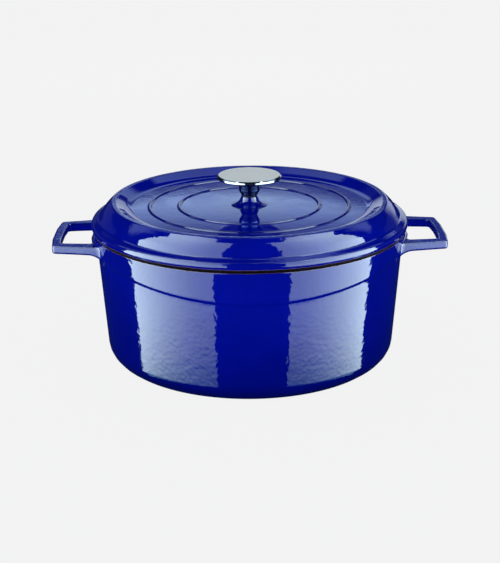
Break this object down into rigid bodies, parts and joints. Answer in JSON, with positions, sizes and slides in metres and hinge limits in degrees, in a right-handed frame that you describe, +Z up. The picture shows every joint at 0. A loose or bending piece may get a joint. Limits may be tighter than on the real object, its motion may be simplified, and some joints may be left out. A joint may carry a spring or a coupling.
{
  "type": "cast iron dutch oven",
  "caption": "Round enamelled cast iron dutch oven with two flat loop handles and a loose dished lid with a steel disc knob screwed to a cast boss.",
  "frame": {"origin": "on the surface that the pot stands on, under the middle of the base", "axes": "+Z up through the knob, +X towards one handle, Y across the pot"},
  "size_m": [0.3634, 0.2928, 0.1711],
  "materials": {
    "pot_enamel": "cast iron with gloss cobalt vitreous enamel outside, pale enamel inside and a matt black rim",
    "lid_enamel": "cast iron with gloss cobalt vitreous enamel on top, pale enamel beneath and a matt black seat",
    "knob_steel": "stainless steel, satin top and polished rolled edge",
    "polished_steel": "mirror polished stainless steel",
    "gasket_silicone": "black heat-proof silicone",
    "fastener_steel": "turned stainless steel",
    "washer_steel": "stamped stainless steel",
    "spring_steel": "coiled flat stainless spring steel"
  },
  "bodies": {
    "pot_body": {"pot": "pot_enamel"},
    "lid_body": {"lid": "lid_enamel", "knob_disc": "knob_steel", "knob_collar": "polished_steel", "knob_gasket": "gasket_silicone", "knob_screw": "fastener_steel", "flat_washer": "washer_steel", "lock_washer": "spring_steel"}
  },
  "joints": [
    {"name": "lid_lift", "type": "slide", "parent": "pot_body", "child": "lid_body", "axis": [0, 0, 1], "range_m": [0, 0.15]}
  ]
}
